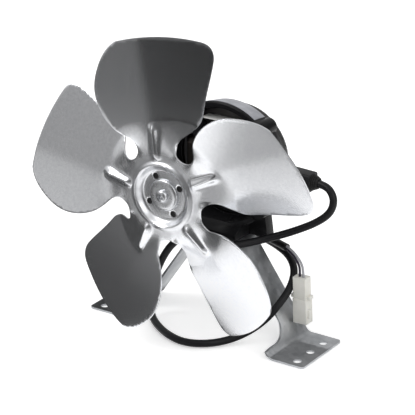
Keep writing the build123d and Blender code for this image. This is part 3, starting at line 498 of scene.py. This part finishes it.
def sheet_front():
    """Front face of the fan: flat places joined in triangles, then set at their depth."""
    fine_radius, fine_step, coarse_step = 50, 0.95, 1.9
    edge = blade_edge()
    rim = np.vstack([turned(edge, first_blade_turn - sector * k) for k in range(blade_count)])
    holes = [circle((0, 0), shaft_hole_radius, 40)]
    for k in range(vent_count):
        turn = vent_turn + first_blade_turn + 360 / vent_count * k
        holes.append(circle(polar(vent_circle, turn), vent_radius, 24))
    loops = [rim] + holes
    edged = np.vstack(loops)
    fill = np.vstack((spaced(edged, 0, fine_radius, fine_step),
                      spaced(edged, fine_radius, fan_radius, coarse_step)))
    flat = np.vstack((edged, fill[inside_sheet(fill, rim, holes)]))
    lines, first = [], 0
    for loop in loops:
        lines += [(first + i, first + (i + 1) % len(loop)) for i in range(len(loop))]
        first += len(loop)
    flat, _, faces, *_ = delaunay_2d_cdt([Vector(p) for p in flat.tolist()], lines, [], 0, 1e-6)
    flat = np.array([tuple(p) for p in flat])
    faces = np.array([tuple(f) for f in faces])
    faces = faces[inside_sheet(flat[faces].mean(1), rim, holes)]

    radius = np.hypot(*flat.T)
    turn = np.degrees(np.arctan2(flat[:, 0], flat[:, 1])) - first_blade_turn
    turn = (turn - notch_turn + sector) % sector + notch_turn - sector
    rise = blade_rise(radius * np.sin(np.radians(turn)), radius * np.cos(np.radians(turn)))
    dish = smooth_run([(15.8, hub_y), (20.6, web_y - 1.6), (hub_rim_radius, web_y)], (1, 0), (1, 0), 40)
    depth = np.where(radius < hub_rim_radius, np.interp(radius, dish[:, 0], dish[:, 1]), web_y + rise)
    places = np.stack((flat[:, 0], depth + sheet_setback, axis_height + flat[:, 1]), 1) * MM
    return places.tolist(), faces.tolist()


def fan_sheet():
    """Whole fan as one sheet with its dished hub, ribs and blades, its thickness and its broken edges."""
    places, faces = sheet_front()
    mesh = bpy.data.meshes.new("fan_sheet")
    mesh.from_pydata(places, [], faces)
    piece = bpy.data.objects.new("fan_sheet", mesh)
    bpy.context.collection.objects.link(piece)
    only(piece)
    bpy.ops.object.mode_set(mode="EDIT")
    bpy.ops.mesh.select_all(action="SELECT")
    bpy.ops.mesh.delete_loose()
    bpy.ops.mesh.select_all(action="SELECT")
    bpy.ops.mesh.normals_make_consistent(inside=False)
    bpy.ops.object.mode_set(mode="OBJECT")
    if sum(f.normal.y for f in mesh.polygons) > 0:
        mesh.flip_normals()
    wall = piece.modifiers.new("thickness", "SOLIDIFY")
    wall.thickness = sheet * MM
    wall.offset = -1
    wall.use_even_offset = True
    bpy.ops.object.modifier_apply(modifier=wall.name)
    break_edges(piece, width=0.2, steps=2, angle=55)
    bpy.ops.object.shade_smooth_by_angle(angle=math.radians(45))
    mesh.materials.append(finishes["blade_aluminium"])
    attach(piece, "fan_rotor")
    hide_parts("fan")


def painted_shade_disc():
    """Black disc behind the hub plate, painted shade that makes the plate's four holes dark."""
    radius, thickness, behind_hub, edge = 15.4, 0.8, 1.46, 0.15
    only()
    bpy.ops.mesh.primitive_cylinder_add(
        vertices=96, radius=radius * MM, depth=thickness * MM, rotation=(math.pi / 2, 0, 0),
        location=(0, (hub_y + behind_hub) * MM, axis_height * MM))
    piece = bpy.context.object
    piece.name = "painted_shade_disc"
    bpy.ops.object.transform_apply(location=True, rotation=True, scale=True)
    bpy.ops.object.mode_set(mode="EDIT")
    bpy.ops.mesh.select_all(action="SELECT")
    bpy.ops.mesh.bevel(offset=edge * MM, segments=2, affect="EDGES")
    bpy.ops.object.mode_set(mode="OBJECT")
    bpy.ops.object.shade_smooth_by_angle(angle=math.radians(30))
    piece.data.materials.append(finishes["black_rubber"])
    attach(piece, "fan_rotor")


def cross_recess(screw):
    """Cross recess cut into the head of the fan screw."""
    length, width, depth, first_turn = 4.6, 1.05, 1.5, 32
    front = min((screw.matrix_world @ Vector(corner)).y for corner in screw.bound_box)
    for turn in (first_turn, first_turn + 90):
        only()
        bpy.ops.mesh.primitive_cube_add(size=1, location=(0, front, axis_height * MM))
        cutter = bpy.context.object
        cutter.scale = (length * MM, 2 * depth * MM, width * MM)
        cutter.rotation_euler = (0, math.radians(turn), 0)
        only(screw)
        cut = screw.modifiers.new("cross_recess", "BOOLEAN")
        cut.operation = "DIFFERENCE"
        cut.solver = "EXACT"
        cut.object = cutter
        bpy.ops.object.modifier_apply(modifier=cut.name)
        bpy.data.objects.remove(cutter)


fan_sheet()
# The black disc behind the hub plate is painted shade in the plate's four holes.
painted_shade_disc()
finished("fan_washer", edge=0.15)
cross_recess(finished("fan_screw", edge=0.15))
for name in ("hub_adapter", "rotor_shaft", "shaft_slinger", "cable_plug", "strain_relief", "rear_cap",
             "rating_band", "bracket_screws", "tie_bolts"):
    finished(name, edge=0.15)
finished("front_shield", edge=0.5, steps=3)
finished("rear_shield", edge=0.4)
finished("bracket", edge=0.2)
for name in ("connector_socket", "connector_plug"):
    finished(name, edge=0.25)

# The cable runs from the lead box to its bare end, and each wire from there to the connector
cable_route = [
    (56, 32.4, 102.6), (63.4, 32.4, 102.6), (70.4, 31.6, 100.4), (74.6, 29.6, 94.2), (72.2, 28.4, 85.8),
    (63.4, 26.8, 78.2), (50.5, 24.4, 71), (38.4, 20.6, 65.6), (27.8, 12, 62.6), (18.6, 1, 61.2),
    (7.5, -4.4, 61.6), (-4.5, -5.4, 63.2), (-17.5, -4.6, 61.6), (-28.4, -3.2, 53.4), (-36.6, -2.8, 41.5),
    (-41.8, -2.8, 30), (-45.2, -4, 18.6), (-43.6, -8.3, 8.4), (-38.5, -14, 2.9), (-27.6, -23, 2.6),
    (-13.8, -31, 2.6), (1, -35, 2.6), (14.2, -30, 2.6), (24.4, -18.8, 3), (34, -9, 7.6),
    (43, -1.6, 15.8), (48.8, 5, 25.4), (50.2, 16.2, 32.6), (48.4, 25.6, 41.2), (39.4, 33.6, 46.8),
    (27, 38.6, 49.4), (13.3, 44.1, 49.6), (0, 50.8, 49.6), (-14, 58.4, 49.8), (-29.6, 62.6, 50.2),
    (-44.4, 57.4, 51), (-51.4, 43.2, 52.2), (-44, 28.6, 53.6), (-28.6, 26.4, 54.8), (-14.4, 31.4, 55.4),
    (-2, 38, 55), (8.6, 41, 54), (18, 38.2, 54), (28.6, 33.4, 54.6), (39.6, 29.2, 54.6)]
dark_wire_route = [(38.9, 29.5, 53.7), (44.2, 27.4, 52.4), (49.4, 25.2, 49.8), (53.6, 22.4, 47),
                   (55.8, 19.2, 44.2), (56.2, 19, 35.6)]
light_wire_route = [(38.9, 29.5, 55.5), (44.8, 27.2, 54.6), (50.8, 25, 51.6), (55.8, 22.2, 48.4),
                    (58.5, 19.2, 44.6), (59, 19, 35.6)]


def cord(name, node, route, diameter):
    """Smooth round cord through a route given in millimetres."""
    curve = bpy.data.curves.new(name, "CURVE")
    curve.dimensions = "3D"
    curve.bevel_depth = diameter / 2
    curve.bevel_resolution = 7
    curve.resolution_u = 10
    curve.use_fill_caps = True
    spline = curve.splines.new("NURBS")
    spline.points.add(len(route) - 1)
    for point, place in zip(spline.points, route):
        point.co = (*(c * MM for c in place), 1)
    spline.order_u = 3
    spline.use_endpoint_u = True
    piece = bpy.data.objects.new(name, curve)
    bpy.context.collection.objects.link(piece)
    curve.materials.append(finishes[slot_of[node]])
    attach(piece, "motor")
    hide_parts(node)
    return piece


cable = cord("cable_run", "cable", cable_route, 5 * MM)
dark_wire = cord("dark_wire_run", "wire_dark", dark_wire_route, 1.6 * MM)
light_wire = cord("light_wire_run", "wire_light", light_wire_route, 1.6 * MM)

# The studio in metres. Grey cards that only reflections see stand round the part, as in a light tent.
card_height = 0.002
floor_cards = {  # left, right, front, back and grey
    "left_floor_card": (-2.0, -0.055, -0.14, 0.80, 0.07),
    "left_near_card": (-2.0, -0.115, -0.24, -0.14, 0.16),
    "dim_floor_card": (-2.0, -0.235, -0.50, -0.24, 0.14),
    "near_floor_card": (-0.2375, -0.1225, -0.32, -0.23, 0.02),
    "bright_floor_card": (-0.235, -0.025, -0.50, -0.32, 0.70),
    "grey_floor_card": (-0.025, 0.315, -0.50, -0.145, 0.42),
    "soft_floor_card": (0.0, 0.31, -0.145, -0.115, 0.82),
    "shade_floor_card": (-0.015, 0.135, -0.04, 0.01, 0.30),
    "front_floor_card": (-2.0, 0.03, -2.0, -0.50, 0.14),
    "right_floor_card": (0.03, 1.63, -2.0, -0.50, 0.004),
}
wall_cards = {  # centre, the way it faces, size and grey
    "rear_wall_card": ((1.7, 2.2, 0.9), (0, -1, 0), (2.4, 1.6), 0.20),
    "low_left_wall_card": ((-1.40, -2.0, 0.23), (0, 1, 0), (2.1, 0.46), 0.66),
    "high_left_wall_card": ((-1.40, -2.0, 1.08), (0, 1, 0), (2.1, 1.24), 0.30),
    "middle_wall_card": ((-0.125, -2.0, 0.85), (0, 1, 0), (0.45, 1.7), 0.20),
    "right_wall_card": ((1.05, -2.0, 0.85), (0, 1, 0), (1.9, 1.7), 0.10),
    "left_wall_card": ((-2.46, -0.5, 0.3), (1, 0, 0), (3.0, 0.6), 0.12),
}
lamps = {  # place, size and power
    "key": ((-0.9, -1.1, 1.6), 1.2, 16),
    "fill": ((1.5, -0.6, 1.2), 1.4, 7),
}
lamps_aim = Vector((0, 0, 0.08))


def card(name, centre, facing, size, grey):
    """Flat card of one even grey that only reflections see."""
    only()
    bpy.ops.mesh.primitive_plane_add(size=1, location=centre)
    piece = bpy.context.object
    piece.name = name
    piece.scale = (*size, 1)
    piece.rotation_euler = Vector(facing).to_track_quat("Z", "Y").to_euler()
    f = Finish(name + "_tone")
    f.set(Base_Color=(0, 0, 0, 1), Roughness=1.0, Specular_IOR_Level=0.0,
          Emission_Color=(grey, grey, grey, 1), Emission_Strength=1.0)
    piece.data.materials.append(f.material)
    piece.visible_camera = False
    piece.visible_diffuse = False
    piece.visible_transmission = False
    piece.visible_shadow = False


def pale_floor():
    """White floor that keeps the shadow, lifted a little where the camera or a reflection sees it."""
    camera_lift, reflection_lift = 0.42, 0.33
    only()
    bpy.ops.mesh.primitive_plane_add(size=8, location=(0, 0, -0.0003))
    floor = bpy.context.object
    floor.name = "floor"
    f = Finish("pale_floor")
    seen = (f.node("ShaderNodeLightPath", output="Is Camera Ray") * camera_lift
            + f.node("ShaderNodeLightPath", output="Is Glossy Ray") * reflection_lift)
    f.set(Base_Color=(0.97, 0.97, 0.97, 1), Roughness=0.9, Specular_IOR_Level=0.1,
          Emission_Color=f.between((0, 0, 0), (1, 1, 1), seen), Emission_Strength=1.0)
    floor.data.materials.append(f.material)


def white_surroundings():
    """White as the camera sees it and through clear pieces, and a soft grey as light and in reflections."""
    as_light, as_seen = 0.66, 1.0
    world = bpy.data.worlds.new("studio")
    bpy.context.scene.world = world
    world.use_nodes = True
    tree = world.node_tree
    back = tree.nodes["Background"]
    path = tree.nodes.new("ShaderNodeLightPath")
    seen = tree.nodes.new("ShaderNodeMath")
    seen.operation = "MAXIMUM"
    tree.links.new(path.outputs["Is Camera Ray"], seen.inputs[0])
    tree.links.new(path.outputs["Is Transmission Ray"], seen.inputs[1])
    level = tree.nodes.new("ShaderNodeMapRange")
    level.inputs["To Min"].default_value = as_light
    level.inputs["To Max"].default_value = as_seen
    tree.links.new(seen.outputs[0], level.inputs["Value"])
    tree.links.new(level.outputs[0], back.inputs["Strength"])
    back.inputs["Color"].default_value = (1, 1, 1, 1)


def studio():
    pale_floor()
    for name, (left, right, front, back, grey) in floor_cards.items():
        centre = ((left + right) / 2, (front + back) / 2, card_height)
        card(name, centre, (0, 0, 1), (right - left, back - front), grey)
    for name, wall in wall_cards.items():
        card(name, *wall)
    white_surroundings()
    for name, (place, size, power) in lamps.items():
        lamp = bpy.data.lights.new(name, "AREA")
        lamp.size = size
        lamp.energy = power
        lamp_object = bpy.data.objects.new(name, lamp)
        bpy.context.collection.objects.link(lamp_object)
        lamp_object.location = place
        lamp_object.rotation_euler = (lamps_aim - Vector(place)).to_track_quat("-Z", "Y").to_euler()


def camera():
    """Camera of the photograph: its angles, its distance from the hub and its focal length."""
    turn, tilt, roll = math.radians(34.62), math.radians(22.10), math.radians(-0.65)
    distance, shift_right, shift_down = 1.2349, 0.02805, 0.00695
    photo_pixels, focal_pixels = 415, 2004.12
    back = Vector((math.sin(turn) * math.cos(tilt), -math.cos(turn) * math.cos(tilt), math.sin(tilt)))
    level = Vector((math.cos(turn), math.sin(turn), 0))
    upright = back.cross(level)
    right = level * math.cos(roll) + upright * math.sin(roll)
    up = upright * math.cos(roll) - level * math.sin(roll)
    hub = Vector((0, web_y * MM, axis_height * MM))
    lens = bpy.data.cameras.new("photo_camera")
    lens.sensor_width = 36
    lens.lens = lens.sensor_width * focal_pixels / photo_pixels
    lens.clip_start = 0.1
    lens.clip_end = 20
    view = bpy.data.objects.new("photo_camera", lens)
    bpy.context.collection.objects.link(view)
    place = hub + back * distance + right * shift_right - up * shift_down
    view.matrix_world = Matrix.Translation(place) @ Matrix((right, up, back)).transposed().to_4x4()
    bpy.context.scene.camera = view


studio()
camera()
bpy.context.scene.view_settings.view_transform = "Standard"
